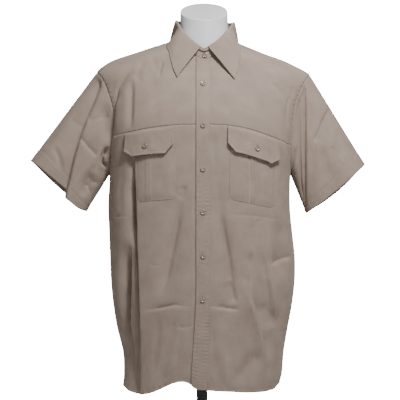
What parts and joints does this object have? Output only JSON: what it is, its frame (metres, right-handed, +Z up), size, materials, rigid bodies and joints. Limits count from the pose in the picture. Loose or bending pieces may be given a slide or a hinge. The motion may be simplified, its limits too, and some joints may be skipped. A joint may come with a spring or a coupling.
{
  "type": "short-sleeve button-front shirt on a limbless torso form with a stand",
  "caption": "Short-sleeve work shirt with pleated flap pockets, shown worn on a limbless torso form that stands on a round base.",
  "frame": {"origin": "middle of the underside of the round base, under the pole", "axes": "+Z up, -Y towards the shirt's buttoned front, +X towards the wearer's left"},
  "size_m": [0.752, 0.32, 1.0349],
  "materials": {
    "shirt_cloth": "khaki polyester and cotton twill, soft matt with a slight sheen",
    "button_plastic": "pearly beige cast polyester",
    "form_shell": "satin white moulded shell",
    "stand_metal": "black powder coat"
  },
  "bodies": {
    "root": {"back": "shirt_cloth", "yoke": "shirt_cloth", "upper_front_right": "shirt_cloth", "upper_front_left": "shirt_cloth", "lower_front_right": "shirt_cloth", "lower_front_left": "shirt_cloth", "sleeve_right": "shirt_cloth", "sleeve_left": "shirt_cloth", "placket": "shirt_cloth", "collar_stand": "shirt_cloth", "collar_leaf": "shirt_cloth", "pocket_right": "shirt_cloth", "pocket_left": "shirt_cloth", "flap_right": "shirt_cloth", "flap_left": "shirt_cloth", "button_collar": "button_plastic", "button_front_1": "button_plastic", "button_front_2": "button_plastic", "button_front_3": "button_plastic", "button_front_4": "button_plastic", "button_front_5": "button_plastic", "button_front_6": "button_plastic", "button_flap_right": "button_plastic", "button_flap_left": "button_plastic", "torso_form": "form_shell", "neck_cap": "form_shell", "flange": "stand_metal", "pole": "stand_metal", "base_socket": "stand_metal", "base": "stand_metal"}
  },
  "joints": []
}
